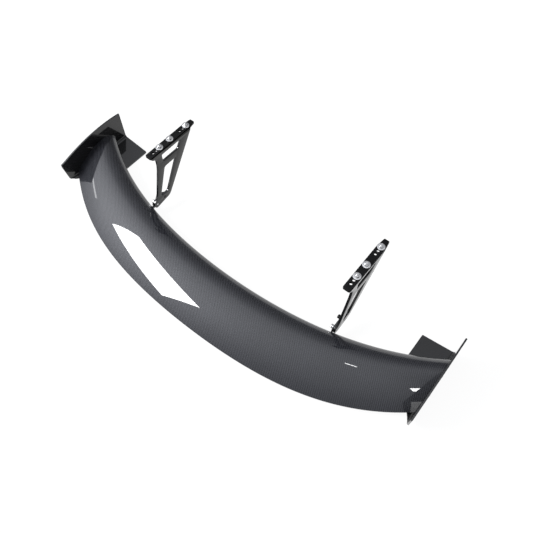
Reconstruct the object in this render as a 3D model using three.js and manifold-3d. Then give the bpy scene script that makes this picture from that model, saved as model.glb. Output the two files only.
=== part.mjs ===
// Racing rear wing: a bowed hollow carbon blade between two end plates, carried by two identical
// forward-mounted uprights. Millimetres. The wing lies upside down on its end-plate panels, as it is
// stored and unpacked: +Z is up from the ground it lies on, +X is towards the front of the car, and the
// +Y side is called left. The uprights' mounting flanges therefore face up.

import * as THREE from 'three';
import { mergeVertices } from 'three/addons/utils/BufferGeometryUtils.js';
import Module from 'manifold-3d';

const wasm = await Module();
wasm.setup();

// ---- driving dimensions -------------------------------------------------------------------------

const GAP = 0.3; // clearance between pieces that touch
const HALF_WIDTH = 698; // outer face of an end plate
const FRONT_X = 242.5; // front tip of an upright's flange
const REAR_X = -242.5; // trailing edge at mid-span

const END_WALL = 5; // end plate thickness
const HALF_SPAN = HALF_WIDTH - END_WALL - GAP; // blade end
const SPAN_STEPS = 36;
const CHORD_STEPS = 12;

// Plan shape of the blade: each edge is x = mid + bow * s^2 + hook * s^4, with s = y / HALF_SPAN.
const LEADING = { mid: -38.5, bow: 124, hook: 53, height: 37, rise: 19, power: 2 };
const TRAILING = { mid: REAR_X, bow: 105, hook: 91, height: 2.4, rise: 30, power: 3 };

// Blade section, as fractions of the chord.
const CAMBER = 0.12;
const CAMBER_AT = 0.3;
const THICKNESS = 0.16;
const NOSE_START = 0.0004; // where the two skins meet at the nose
const TRAILING_THICK = 4;
const SKIN = 2.5;
const RIB_CLEARANCE = 1.4; // glue line between a rib and the skins
const CHORD = 200; // nominal chord, for clearances along it

const SPAR = { front: 0.42, rear: 0.52, height: 0.6, end: 690 };
const RIB = { front: 0.08, rear: 0.88 };
const TIP_RIB = 12;
const CENTRE_RIB = 8;
const MOUNT_RIB = 24;

const FLANGE_TOP = 252; // height of the mounting faces
const FLANGE_THICK = 8;
const FLANGE_WIDTH = 25;
const FLANGE_REAR = 39.5;
const PLATE_THICK = 8;
const UPRIGHT_Y = { left: 360, right: -385 }; // right-hand (-Y) face of each upright's plate
const HOLE_CENTRE = 137.5; // middle of the row of flange holes
const HOLE_OFFSETS = [-74, -60, -46, 0, 46, 60, 74];
const STUD_OFFSETS = [-46, 0, 74];

const M8 = 4; // thread radii
const M6 = 3;
const M5 = 2.5;
const ROUND_STEPS = 16;
const STUD_LENGTH = 19;
const FLANGE_WASHER = { radius: 12, thick: 2 };
const FLANGE_NUT = { acrossFlats: 13, height: 6.5 };
const JOINT_WASHER = { radius: 8, thick: 1.6 };
const JOINT_BOLT_LENGTH = 15;
const END_SCREW_LENGTH = 16;
const BRACKET_SCREW_LENGTH = 20;
const DRILL_LENGTH = 60; // longer than any hole is deep

const PIVOT = { x: 20, z: 42 }; // blade pivot, the same for both uprights
const PIVOT_BOSS = 13.5;
const ANGLE_RADIUS = 36; // angle bolt, measured from the pivot
const ANGLE_AT = 12; // degrees above the horizontal
const ANGLE_TRAVEL = 6; // degrees each way
const ANGLE_SPARE = 0.5; // degrees of slot left past each end of the travel
const ANGLE_BOSS = 12;

const BRACKET = { thick: 5, rear: -64, front: -2, top: 37, bottom: 26, foot: 26, footThick: 5 };
const BRACKET_SCREWS_X = [-16, -48];
const BRACKET_SCREW_Y = 16;

// Side view of an end plate: its top edge arches between two corners, and its rear edge leans forward
// towards the ground.
const END_PLATE = {
  rear: -95.5,
  front: 183,
  rearTop: 105,
  frontTop: 132,
  archX: 60,
  archZ: 150,
  lean: 8,
  topCorner: 11,
  lowCorner: 14,
  footInset: 52,
};

// The panel that each end plate turns inwards: inner edge, slope in degrees, bend radius, and where its
// inner edge begins.
const PANEL = { inner: 590, slope: 9, bend: 16, corner: 60 };
const END_SCREWS = [0.15, 0.34, 0.68]; // chord fractions

// ---- materials ----------------------------------------------------------------------------------

const material = (color, roughness, metalness) => new THREE.MeshStandardMaterial({
  color,
  roughness,
  metalness,
});
const glossCarbon = () => material(0x3b3e44, 0.12, 0);
const satinCarbon = () => material(0x2c2d30, 0.3, 0);
const rawCarbon = () => material(0x1d1e20, 0.7, 0);
const blackAluminium = () => material(0x26272a, 0.5, 0.6);
const blackSteel = () => material(0x1b1b1d, 0.35, 0.8);
const zincSteel = () => material(0xc6c8cb, 0.3, 1);

// ---- outlines and solids ------------------------------------------------------------------------

const radians = THREE.MathUtils.degToRad;

function arc(x, y, radius, fromDegrees, toDegrees, steps) {
  const points = [];
  for (let i = 0; i <= steps; i += 1) {
    const angle = radians(fromDegrees + ((toDegrees - fromDegrees) * i) / steps);
    points.push(new THREE.Vector2(x + radius * Math.cos(angle), y + radius * Math.sin(angle)));
  }
  return points;
}

function circle(x, y, radius) {
  return arc(x, y, radius, 0, 360, ROUND_STEPS).slice(0, -1);
}

function curve(from, control, to, steps) {
  const bend = new THREE.QuadraticBezierCurve(
    new THREE.Vector2(...from),
    new THREE.Vector2(...control),
    new THREE.Vector2(...to),
  );
  return bend.getPoints(steps);
}

const point = (x, y) => new THREE.Vector2(x, y);

// A flat piece from an outline in X and Y, from z = 0 up to its thickness.
function slab(outline, holes, thickness) {
  const shape = new THREE.Shape(outline);
  for (const hole of holes) {
    shape.holes.push(new THREE.Path(hole));
  }
  return new THREE.ExtrudeGeometry(shape, { depth: thickness, bevelEnabled: false, curveSegments: 1 });
}

// The same from an outline in X and Z, from y = 0 to its thickness.
function standingSlab(outline, holes, thickness) {
  return slab(outline, holes, thickness).rotateX(Math.PI / 2).translate(0, thickness, 0);
}

// A slab from an outline in Y and Z, from x = 0 to its thickness.
function crossSlab(outline, thickness) {
  return slab(outline, [], thickness).rotateX(Math.PI / 2).rotateZ(Math.PI / 2);
}

function cylinder(radius, length) {
  return new THREE.CylinderGeometry(radius, radius, length, ROUND_STEPS);
}

// A turned piece standing on the Z axis, from [radius, height] pairs.
function turned(profile) {
  const points = profile.map(([radius, height]) => point(radius, height));
  return new THREE.LatheGeometry(points, ROUND_STEPS).rotateX(Math.PI / 2);
}

function toSolid(geometry) {
  const bare = geometry.clone();
  bare.deleteAttribute('normal');
  bare.deleteAttribute('uv');
  const merged = mergeVertices(bare, 1e-4);
  const mesh = new wasm.Mesh({
    numProp: 3,
    vertProperties: new Float32Array(merged.attributes.position.array),
    triVerts: new Uint32Array(merged.index.array),
  });
  return new wasm.Manifold(mesh);
}

function toGeometry(solid) {
  const mesh = solid.getMesh();
  const geometry = new THREE.BufferGeometry();
  geometry.setAttribute('position', new THREE.BufferAttribute(mesh.vertProperties, 3));
  geometry.setIndex(new THREE.BufferAttribute(mesh.triVerts, 1));
  geometry.computeVertexNormals();
  return geometry;
}

function cut(geometry, cutters) {
  let solid = toSolid(geometry);
  for (const cutter of cutters) {
    solid = solid.subtract(toSolid(cutter));
  }
  return toGeometry(solid);
}

const join = (first, second) => toGeometry(toSolid(first).add(toSolid(second)));
const overlap = (first, second) => toGeometry(toSolid(first).intersect(toSolid(second)));

// ---- blade shape --------------------------------------------------------------------------------

function edgePoint(edge, y) {
  const s = Math.abs(y) / HALF_SPAN;
  const x = edge.mid + edge.bow * s ** 2 + edge.hook * s ** 4;
  return point(x, edge.height + edge.rise * s ** edge.power);
}

function camberAt(f) {
  if (f < CAMBER_AT) {
    return (CAMBER / CAMBER_AT ** 2) * (2 * CAMBER_AT * f - f * f);
  }
  return (CAMBER / (1 - CAMBER_AT) ** 2) * (1 - 2 * CAMBER_AT + 2 * CAMBER_AT * f - f * f);
}

function thicknessAt(f) {
  const series = 0.2969 * Math.sqrt(f) - 0.126 * f - 0.3516 * f ** 2 + 0.2843 * f ** 3 - 0.1015 * f ** 4;
  return 5 * THICKNESS * series;
}

// Half the blade's thickness in millimetres at chord fraction f.
function halfThickness(y, f) {
  const chord = edgePoint(LEADING, y).distanceTo(edgePoint(TRAILING, y));
  return chord * thicknessAt(f) + (TRAILING_THICK / 2) * f;
}

// The point of the section at y, at chord fraction f, so many millimetres above the mean line.
function bladePoint(y, f, above) {
  const nose = edgePoint(LEADING, y);
  const along = edgePoint(TRAILING, y).sub(nose);
  const up = point(-along.y, along.x).normalize().negate();
  const chord = along.length();
  return nose.addScaledVector(along, f).addScaledVector(up, camberAt(f) * chord + above);
}

// Chord fractions from one to another, closer together at both ends.
function chordFractions(from, to, steps) {
  const fractions = [];
  for (let i = 0; i <= steps; i += 1) {
    fractions.push(from + ((to - from) * (1 - Math.cos((Math.PI * i) / steps))) / 2);
  }
  return fractions;
}

function spanStations(from, to, steps) {
  const stations = [];
  for (let i = 0; i <= steps; i += 1) {
    stations.push(from + ((to - from) * i) / steps);
  }
  return stations;
}

// Joins the sections (closed outlines in X and Z with equal point counts) at the given stations.
function loft(stations, sectionAt) {
  const sections = stations.map(sectionAt);
  if (THREE.ShapeUtils.isClockWise(sections[0])) {
    sections.forEach((section) => section.reverse());
  }
  const count = sections[0].length;
  const positions = [];
  sections.forEach((section, k) => {
    section.forEach((p) => positions.push(p.x, stations[k], p.y));
  });
  const indices = [];
  for (let k = 0; k < sections.length - 1; k += 1) {
    for (let i = 0; i < count; i += 1) {
      const a = k * count + i;
      const b = k * count + ((i + 1) % count);
      indices.push(a, b + count, b, a, a + count, b + count);
    }
  }
  const last = (sections.length - 1) * count;
  for (const [a, b, c] of THREE.ShapeUtils.triangulateShape(sections[0], [])) {
    indices.push(a, b, c);
  }
  for (const [a, b, c] of THREE.ShapeUtils.triangulateShape(sections[sections.length - 1], [])) {
    indices.push(last + a, last + c, last + b);
  }
  const geometry = new THREE.BufferGeometry();
  geometry.setAttribute('position', new THREE.Float32BufferAttribute(positions, 3));
  geometry.setIndex(indices);
  geometry.computeVertexNormals();
  return geometry;
}

// One half of the blade's shell: side is 1 for the suction side and -1 for the pressure side.
function skin(side) {
  const fractions = chordFractions(NOSE_START, 1, CHORD_STEPS);
  const backwards = [...fractions].reverse();
  const inner = (y, f) => Math.max(halfThickness(y, f) - SKIN, GAP / 2);
  const section = (y) => [
    ...fractions.map((f) => bladePoint(y, f, side * halfThickness(y, f))),
    ...backwards.map((f) => bladePoint(y, f, side * inner(y, f))),
  ];
  return loft(spanStations(-HALF_SPAN, HALF_SPAN, SPAN_STEPS), section);
}

function sparBar(clearance) {
  const end = SPAR.end + clearance;
  const section = (y) => {
    const corner = (f, side) => {
      const shift = (f === SPAR.front ? -clearance : clearance) / CHORD;
      return bladePoint(y, f + shift, side * (SPAR.height * (halfThickness(y, f) - SKIN) + clearance));
    };
    return [corner(SPAR.front, 1), corner(SPAR.rear, 1), corner(SPAR.rear, -1), corner(SPAR.front, -1)];
  };
  return loft(spanStations(-end, end, SPAN_STEPS), section);
}

function rib(from, to) {
  const fractions = chordFractions(RIB.front, RIB.rear, CHORD_STEPS - 4);
  const backwards = [...fractions].reverse();
  const height = (y, f) => halfThickness(y, f) - SKIN - RIB_CLEARANCE;
  const section = (y) => [
    ...fractions.map((f) => bladePoint(y, f, height(y, f))),
    ...backwards.map((f) => bladePoint(y, f, -height(y, f))),
  ];
  return cut(loft([from, to], section), [sparBar(2 * GAP)]);
}

// ---- end plates ---------------------------------------------------------------------------------

// The left end plate: an upright wall that bends inwards into a sloping panel, which meets the ground.
function endPlate() {
  const slope = radians(PANEL.slope);
  const bendY = HALF_WIDTH - PANEL.bend;
  const reach = bendY + PANEL.bend * Math.sin(slope) - PANEL.inner;
  const bendZ = PANEL.bend * Math.cos(slope) + reach * Math.tan(slope);
  const innerBend = PANEL.bend - END_WALL;
  const edge = point(PANEL.inner, 0);
  const section = [
    point(HALF_WIDTH, END_PLATE.archZ),
    point(HALF_WIDTH - END_WALL, END_PLATE.archZ),
    ...arc(bendY, bendZ, innerBend, 0, PANEL.slope - 90, 4),
    point(edge.x, edge.y + END_WALL),
    edge,
    ...arc(bendY, bendZ, PANEL.bend, PANEL.slope - 90, 0, 4),
  ];
  const length = END_PLATE.front - END_PLATE.rear;
  const bent = crossSlab(section, length).translate(END_PLATE.rear, 0, 0);
  const side = standingSlab(endPlateSide(), [], HALF_WIDTH);
  return overlap(overlap(bent, side), endPlatePlan());
}

// Outline in X and Z. Edges that only cut free of the bent plate run a little past it.
function endPlateSide() {
  const { rear, front, rearTop, frontTop, archX, archZ, lean, topCorner, lowCorner, footInset } = END_PLATE;
  const past = 1;
  const archStart = [front, frontTop];
  const archEnd = [rear + topCorner + 3, rearTop + 2];
  return [
    point(front + past, -past),
    point(front + past, frontTop - 2),
    ...curve(archStart, [archX, archZ], archEnd, 8),
    ...arc(rear + topCorner, rearTop - topCorner, topCorner, 120, 180, 3),
    ...arc(rear + lean + lowCorner, 33, lowCorner, 180, 228, 4),
    point(rear + footInset, -past),
  ];
}

// Outline in X and Y: the panel widens from the rear lower corner to its straight inner edge.
function endPlatePlan() {
  const { rear, front, archZ, footInset } = END_PLATE;
  const past = 1;
  const hollowStart = [rear + footInset, HALF_WIDTH - 30];
  const hollowEnd = [PANEL.corner, PANEL.inner];
  const outline = [
    point(rear - past, HALF_WIDTH + past),
    point(rear - past, HALF_WIDTH - 8),
    point(rear + 24, HALF_WIDTH - 10),
    ...curve(hollowStart, [PANEL.corner - 20, PANEL.inner], hollowEnd, 5),
    point(front, PANEL.inner),
    point(front, HALF_WIDTH + past),
  ];
  return slab(outline, [], archZ + 2 * past).translate(0, 0, -past);
}

const endScrewPoint = (f) => bladePoint(HALF_SPAN, f, 0);

// ---- uprights -----------------------------------------------------------------------------------

// Outline in X and Z, from the pivot boss forwards and round: toe, front strut up to the flange, then back
// down the rear strut.
function uprightOutline() {
  return [
    ...arc(PIVOT.x, PIVOT.z, PIVOT_BOSS, 165, 262, 8),
    point(56, 35.5),
    ...curve([70, 37.5], [82, 40], [90, 53], 4),
    point(218, 236),
    point(224, FLANGE_TOP - 1),
    point(FLANGE_REAR + 4, FLANGE_TOP - 1),
    ...curve([FLANGE_REAR + 1, 247], [FLANGE_REAR + 4, 238], [54, 233], 4),
    ...curve([58.5, 228], [62, 208], [55.5, 178], 4),
    ...curve([33, 92], [27, 66], [10, 57], 5),
  ];
}

// Lightening holes: a slot below the flange and a triangle between the two struts.
function uprightWindows() {
  const slot = [
    ...arc(89, 206, 4, 180, 270, 3),
    point(150, 202),
    point(156, 206),
    point(170, 226),
    point(170, 232),
    ...arc(89, 228, 4, 90, 180, 3),
  ];
  const triangle = [
    ...curve([45, 73], [42, 63], [52, 63], 3),
    ...curve([69, 63], [76, 63], [80, 71], 3),
    point(133, 167),
    ...curve([137, 174], [138, 177], [132, 177], 2),
    ...curve([96, 177], [85, 177], [82, 168], 3),
  ];
  return [slot, triangle];
}

function flangeOutline() {
  return [
    ...arc(FLANGE_REAR + 6, 6, 6, 180, 270, 3),
    point(222, 0),
    ...arc(FRONT_X - 3, 6, 3, -75, 0, 2),
    ...arc(FRONT_X - 3, FLANGE_WIDTH - 7, 3, 0, 75, 2),
    point(208, FLANGE_WIDTH),
    ...arc(FLANGE_REAR + 6, FLANGE_WIDTH - 6, 6, 90, 180, 3),
  ];
}

function anglePoint(degrees) {
  const angle = radians(degrees);
  return point(PIVOT.x + ANGLE_RADIUS * Math.cos(angle), PIVOT.z + ANGLE_RADIUS * Math.sin(angle));
}

function upright() {
  const bolt = anglePoint(ANGLE_AT);
  const boltHoles = [circle(PIVOT.x, PIVOT.z, M8 + GAP), circle(bolt.x, bolt.y, M8 + GAP)];
  const plate = standingSlab(uprightOutline(), [...uprightWindows(), ...boltHoles], PLATE_THICK);
  const holes = HOLE_OFFSETS.map((offset) => circle(HOLE_CENTRE + offset, FLANGE_WIDTH / 2, M8 + GAP));
  const flange = slab(flangeOutline(), holes, FLANGE_THICK).translate(0, 0, FLANGE_TOP - FLANGE_THICK);
  return join(plate, flange);
}

// ---- brackets between blade and uprights ---------------------------------------------------------

// The upright part of a bracket: a hole for the pivot bolt, and an arc slot for the angle bolt.
function bracketTab() {
  const bolt = anglePoint(ANGLE_AT);
  const { rear, top, bottom } = BRACKET;
  const outline = [
    point(rear, top),
    point(rear, bottom + 4),
    point(-2, bottom),
    ...arc(PIVOT.x, PIVOT.z, PIVOT_BOSS, -100, -70, 2),
    ...arc(bolt.x, bolt.y, ANGLE_BOSS, -70, 105, 8),
    ...arc(PIVOT.x, PIVOT.z, PIVOT_BOSS, 100, 180, 5),
    point(PIVOT.x - PIVOT_BOSS, top),
  ];
  const low = ANGLE_AT - ANGLE_TRAVEL - ANGLE_SPARE;
  const high = ANGLE_AT + ANGLE_TRAVEL + ANGLE_SPARE;
  const lowEnd = anglePoint(low);
  const highEnd = anglePoint(high);
  const slotRadius = M8 + GAP;
  const slot = [
    ...arc(PIVOT.x, PIVOT.z, ANGLE_RADIUS + slotRadius, low, high, 3),
    ...arc(highEnd.x, highEnd.y, slotRadius, high, high + 180, 6).slice(1, -1),
    ...arc(PIVOT.x, PIVOT.z, ANGLE_RADIUS - slotRadius, high, low, 3),
    ...arc(lowEnd.x, lowEnd.y, slotRadius, low + 180, low + 360, 6).slice(1, -1),
  ];
  return standingSlab(outline, [circle(PIVOT.x, PIVOT.z, slotRadius), slot], BRACKET.thick);
}

// The flat part of a bracket, screwed up into the blade's mount rib.
function bracketFoot() {
  const { rear, front, foot, footThick, top } = BRACKET;
  const outline = [
    point(rear, 0),
    point(front, 0),
    ...arc(front - 6, foot - 6, 6, 0, 90, 3),
    ...arc(rear + 6, foot - 6, 6, 90, 180, 3),
  ];
  const holes = BRACKET_SCREWS_X.map((x) => circle(x, BRACKET_SCREW_Y, M6 + GAP));
  return slab(outline, holes, footThick).translate(0, 0, top - footThick);
}

// ---- fasteners, standing on +Z from z = 0 --------------------------------------------------------

function buttonScrew(radius, length) {
  const head = 2 * radius;
  return turned([
    [0, -length],
    [radius, -length],
    [radius, 0],
    [head, 0],
    [head, radius * 0.4],
    [radius * 1.4, radius * 1.1],
    [radius * 0.7, radius * 1.1],
    [radius * 0.7, radius * 0.3],
    [0, radius * 0.3],
  ]);
}

function capBolt(radius, length) {
  const head = radius * 1.625;
  return turned([
    [0, -length],
    [radius - 0.8, -length],
    [radius, 0.8 - length],
    [radius, 0],
    [head, 0],
    [head, radius * 1.8],
    [head - 0.8, radius * 2],
    [radius * 0.8, radius * 2],
    [radius * 0.8, radius],
    [0, radius],
  ]);
}

function stud(length) {
  return turned([
    [0, 0],
    [M8, 0],
    [M8, length - 1],
    [M8 - 1, length],
    [0, length],
  ]);
}

function washer(outer, thickness) {
  return slab(circle(0, 0, outer), [circle(0, 0, M8 + GAP)], thickness);
}

function nut(acrossFlats, thickness) {
  const corners = arc(0, 0, acrossFlats / Math.sqrt(3), 0, 360, 6).slice(0, -1);
  return slab(corners, [circle(0, 0, M8 + GAP)], thickness);
}

// ---- assembly -----------------------------------------------------------------------------------

const SIDES = { left: 1, right: -1 };
const group = new THREE.Group();

function add(name, geometry, finish, x = 0, y = 0, z = 0) {
  const mesh = new THREE.Mesh(geometry, finish);
  mesh.name = name;
  mesh.position.set(x, y, z);
  group.add(mesh);
  return mesh;
}

// Right-hand (-Y) face of a bracket, which stands beside its upright's plate.
const bracketY = (side) => UPRIGHT_Y[side] + PLATE_THICK + GAP;

// The same solid on the other side of the car's middle plane.
function mirrored(geometry) {
  const copy = geometry.clone().scale(1, -1, 1);
  copy.index.array.reverse();
  return copy;
}

function addBlade() {
  const screwHoles = [];
  for (const side of Object.keys(SIDES)) {
    for (const x of BRACKET_SCREWS_X) {
      const y = bracketY(side) + BRACKET_SCREW_Y;
      const drill = cylinder(M6 + GAP, DRILL_LENGTH).rotateX(Math.PI / 2);
      screwHoles.push(drill.translate(x, y, DRILL_LENGTH / 2));
    }
  }
  add('blade_suction_skin', skin(1), glossCarbon());
  add('blade_pressure_skin', cut(skin(-1), screwHoles), glossCarbon());
  add('spar', sparBar(0), rawCarbon());
  add('rib_centre', rib(-CENTRE_RIB / 2, CENTRE_RIB / 2), rawCarbon());
  for (const side of Object.keys(SIDES)) {
    const middle = bracketY(side) + BRACKET_SCREW_Y;
    const mountRib = rib(middle - MOUNT_RIB / 2, middle + MOUNT_RIB / 2);
    add(`rib_mount_${side}`, cut(mountRib, screwHoles), rawCarbon());
  }
}

function addEnd(side) {
  const sign = SIDES[side];
  const holes = END_SCREWS.map((f) => {
    const centre = endScrewPoint(f);
    return cylinder(M5 + GAP, DRILL_LENGTH).translate(centre.x, sign * HALF_SPAN, centre.y);
  });
  const plate = sign > 0 ? endPlate() : mirrored(endPlate());
  add(`endplate_${side}`, cut(plate, holes), satinCarbon());
  const outer = HALF_SPAN - GAP;
  const inner = outer - TIP_RIB;
  const tipRib = sign > 0 ? rib(inner, outer) : rib(-outer, -inner);
  add(`rib_tip_${side}`, cut(tipRib, holes), rawCarbon());
  END_SCREWS.forEach((f, i) => {
    const centre = endScrewPoint(f);
    const screw = buttonScrew(M5, END_SCREW_LENGTH).rotateX((-sign * Math.PI) / 2);
    const headY = sign * (HALF_WIDTH + GAP);
    add(`endplate_screw_${side}_${i + 1}`, screw, zincSteel(), centre.x, headY, centre.y);
  });
}

function addUpright(side) {
  const y = UPRIGHT_Y[side];
  add(`upright_${side}`, upright(), blackAluminium(), 0, y, 0);
  STUD_OFFSETS.forEach((offset, i) => {
    const x = HOLE_CENTRE + offset;
    const rowY = y + FLANGE_WIDTH / 2;
    const studFoot = FLANGE_TOP - FLANGE_THICK + GAP;
    const washerFoot = FLANGE_TOP + GAP;
    const nutFoot = washerFoot + FLANGE_WASHER.thick + GAP;
    const ring = washer(FLANGE_WASHER.radius, FLANGE_WASHER.thick);
    const hexagon = nut(FLANGE_NUT.acrossFlats, FLANGE_NUT.height);
    add(`flange_stud_${side}_${i + 1}`, stud(STUD_LENGTH), zincSteel(), x, rowY, studFoot);
    add(`flange_washer_${side}_${i + 1}`, ring, zincSteel(), x, rowY, washerFoot);
    add(`flange_nut_${side}_${i + 1}`, hexagon, zincSteel(), x, rowY, nutFoot);
  });
}

function addJoint(side) {
  const y = bracketY(side);
  const bracket = join(bracketTab(), bracketFoot());
  add(`blade_bracket_${side}`, bracket, blackAluminium(), 0, y, 0);
  BRACKET_SCREWS_X.forEach((x, i) => {
    const screw = buttonScrew(M6, BRACKET_SCREW_LENGTH).rotateX(Math.PI);
    const seat = BRACKET.top - BRACKET.footThick - GAP;
    add(`bracket_screw_${side}_${i + 1}`, screw, zincSteel(), x, y + BRACKET_SCREW_Y, seat);
  });
  const places = { pivot: point(PIVOT.x, PIVOT.z), angle: anglePoint(ANGLE_AT) };
  for (const [use, place] of Object.entries(places)) {
    const finish = use === 'pivot' ? zincSteel : blackSteel;
    const washerFace = y + BRACKET.thick + GAP;
    const headFace = washerFace + JOINT_WASHER.thick + GAP;
    const ring = washer(JOINT_WASHER.radius, JOINT_WASHER.thick).rotateX(-Math.PI / 2);
    const bolt = capBolt(M8, JOINT_BOLT_LENGTH).rotateX(-Math.PI / 2);
    add(`${use}_washer_${side}`, ring, finish(), place.x, washerFace, place.y);
    add(`${use}_bolt_${side}`, bolt, finish(), place.x, headFace, place.y);
  }
}

addBlade();
for (const side of Object.keys(SIDES)) {
  addEnd(side);
  addUpright(side);
  addJoint(side);
}

export default group;
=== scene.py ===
"""Racing rear wing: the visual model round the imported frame.

Every visible piece is built here as a fine mesh in the CAD's own frame, in metres: +Z up as the wing
lies upside down, +X towards the front of the car, +Y along the span to the left.
"""

import math
import random

import bmesh
import bpy
from mathutils import Matrix, Vector
from mathutils.geometry import tessellate_polygon


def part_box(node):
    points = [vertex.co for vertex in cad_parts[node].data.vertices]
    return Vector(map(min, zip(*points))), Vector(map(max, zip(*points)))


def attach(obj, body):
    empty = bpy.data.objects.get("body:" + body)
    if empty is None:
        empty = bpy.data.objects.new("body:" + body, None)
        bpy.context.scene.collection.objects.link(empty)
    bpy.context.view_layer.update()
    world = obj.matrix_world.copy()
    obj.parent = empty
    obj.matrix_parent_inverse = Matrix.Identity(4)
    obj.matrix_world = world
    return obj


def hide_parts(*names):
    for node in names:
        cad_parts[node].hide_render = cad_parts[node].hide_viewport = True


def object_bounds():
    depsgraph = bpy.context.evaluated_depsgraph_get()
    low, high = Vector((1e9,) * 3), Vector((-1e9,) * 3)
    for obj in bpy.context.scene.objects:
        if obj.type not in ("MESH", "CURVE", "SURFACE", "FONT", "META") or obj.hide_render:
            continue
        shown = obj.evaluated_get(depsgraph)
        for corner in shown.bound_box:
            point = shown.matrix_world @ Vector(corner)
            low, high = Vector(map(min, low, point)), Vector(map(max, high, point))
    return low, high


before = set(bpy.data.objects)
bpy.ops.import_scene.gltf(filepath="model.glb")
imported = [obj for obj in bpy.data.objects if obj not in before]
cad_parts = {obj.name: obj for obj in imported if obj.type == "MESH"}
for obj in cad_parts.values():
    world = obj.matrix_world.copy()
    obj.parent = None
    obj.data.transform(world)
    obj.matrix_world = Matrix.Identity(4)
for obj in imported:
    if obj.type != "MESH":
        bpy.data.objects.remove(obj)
CAD_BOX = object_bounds()

SIDES = {"left": 1, "right": -1}

# ---- driving dimensions, in metres ----------------------------------------------------------------

HALF_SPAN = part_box("blade_suction_skin")[1].y
HALF_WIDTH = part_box("endplate_left")[1].y

# Each edge of the blade, with s = |y| / HALF_SPAN: x = mid + bow * s^2 + hook * s^4 in plan, and
# z = height + rise * s^power.
LEADING = {"mid": -0.0385, "bow": 0.124, "hook": 0.053, "height": 0.037, "rise": 0.019, "power": 2}
TRAILING = {"mid": -0.2425, "bow": 0.105, "hook": 0.091, "height": 0.0024, "rise": 0.030, "power": 3}
CAMBER = 0.12  # these three are fractions of the chord
CAMBER_AT = 0.3
THICKNESS = 0.16
TRAILING_THICK = 0.004
SKIN = 0.0025
SEAM = 0.0003  # clearance between pieces that touch
SPAN_STEPS = 160
CHORD_STEPS = 44
NOSE_CROWDING = 0.92  # share of a half turn that the chord's cosine spacing covers

FLANGE_TOP = 0.252
FLANGE_THICK = 0.008
FLANGE_WIDTH = 0.025
FLANGE_REAR = 0.0395
FLANGE_FRONT = CAD_BOX[1].x
PLATE_THICK = 0.008
HOLE_CENTRE = 0.1375
HOLE_OFFSETS = [-0.074, -0.060, -0.046, 0, 0.046, 0.060, 0.074]
HOLE_RADIUS = 0.0043  # clears an M8 bolt

PIVOT = (0.020, 0.042)  # x and z of the hinge
PIVOT_BOSS = 0.0135
ANGLE_RADIUS = 0.036  # from the pivot to the angle bolt
ANGLE_AT = 12  # degrees above the horizontal
ANGLE_TRAVEL = 6.5
ANGLE_BOSS = 0.012
BRACKET = {"thick": 0.005, "rear": -0.064, "front": -0.002, "top": 0.037, "bottom": 0.026}
FOOT_WIDTH = 0.026
FOOT_CORNER = 0.006
FOOT_HOLE = 0.0033
BRACKET_SCREWS_X = [-0.016, -0.048]
BRACKET_SCREW_Y = 0.016

END_WALL = 0.005
PANEL = {"inner": 0.590, "slope": 9, "bend": 0.016, "corner": 0.060}
BEND_STEPS = 14
END_PLATE_RIM = 0.0014
HIGH_CORNER = 0.011  # radii of the end plate's rear corners, seen from the side
LOW_CORNER = 0.014
LOW_CORNER_LEAN = 0.008
HIGH_CORNER_TOP = 0.105
FOOT_INSET = 0.052  # from the rear tip to where the panel's curved rear edge starts

M8 = 0.004  # thread radii
M6 = 0.003
M5 = 0.0025
STUD_LENGTH = 0.019
JOINT_BOLT_LENGTH = 0.015
FOOT_SCREW_LENGTH = 0.020
END_SCREW_LENGTH = 0.016
FOOT_SCREW_DOME = 1.1 * M6  # height of its head
JOINT_WASHER = {"outer": 0.008, "bore": HOLE_RADIUS, "thick": 0.0016}
FLANGE_WASHER = {"outer": 0.012, "bore": HOLE_RADIUS, "thick": 0.002}
FLANGE_NUT = {"across_flats": 0.013, "bore": HOLE_RADIUS, "height": 0.0065}


# ---- outlines in the plane ------------------------------------------------------------------------

def arc(x, y, radius, start, end, steps=8):
    points = []
    for i in range(steps + 1):
        angle = math.radians(start + (end - start) * i / steps)
        points.append((x + radius * math.cos(angle), y + radius * math.sin(angle)))
    return points


def circle(x, y, radius, steps=40):
    return arc(x, y, radius, 0, 360, steps)[:-1]


def curve(start, control, end, steps=10):
    points = []
    for i in range(steps + 1):
        t = i / steps
        a, b, c = (1 - t) ** 2, 2 * t * (1 - t), t * t
        points.append(tuple(a * p + b * q + c * r for p, q, r in zip(start, control, end)))
    return points


def signed_area(points):
    return sum(a[0] * b[1] - b[0] * a[1] for a, b in zip(points, points[1:] + points[:1])) / 2


def inset(points, distance):
    """The outline moved inwards on a counter-clockwise outline, and outwards on a clockwise one."""
    moved = []
    count = len(points)
    for i, here in enumerate(points):
        before, after = Vector(points[i - 1]), Vector(points[(i + 1) % count])
        here = Vector(here)
        into, away = (here - before).normalized(), (after - here).normalized()
        normals = Vector((-into.y, into.x)), Vector((-away.y, away.x))
        mitre = normals[0] + normals[1]
        mitre /= max(mitre.length_squared / 2, 0.35)
        moved.append(tuple(here + mitre * distance))
    return moved


# ---- mesh helpers ---------------------------------------------------------------------------------

def new_piece(name, vertices, faces, body, node, slot, material, smooth_angle=38):
    """A finished piece: a mesh that rides on a body and stands for a CAD node."""
    mesh = bpy.data.meshes.new(name)
    mesh.from_pydata([tuple(v) for v in vertices], [], faces)
    piece = bpy.data.objects.new(name, mesh)
    bpy.context.scene.collection.objects.link(piece)
    settle(piece, smooth_angle)
    piece.data.materials.append(material)
    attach(piece, body)
    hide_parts(node)
    return piece


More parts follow.
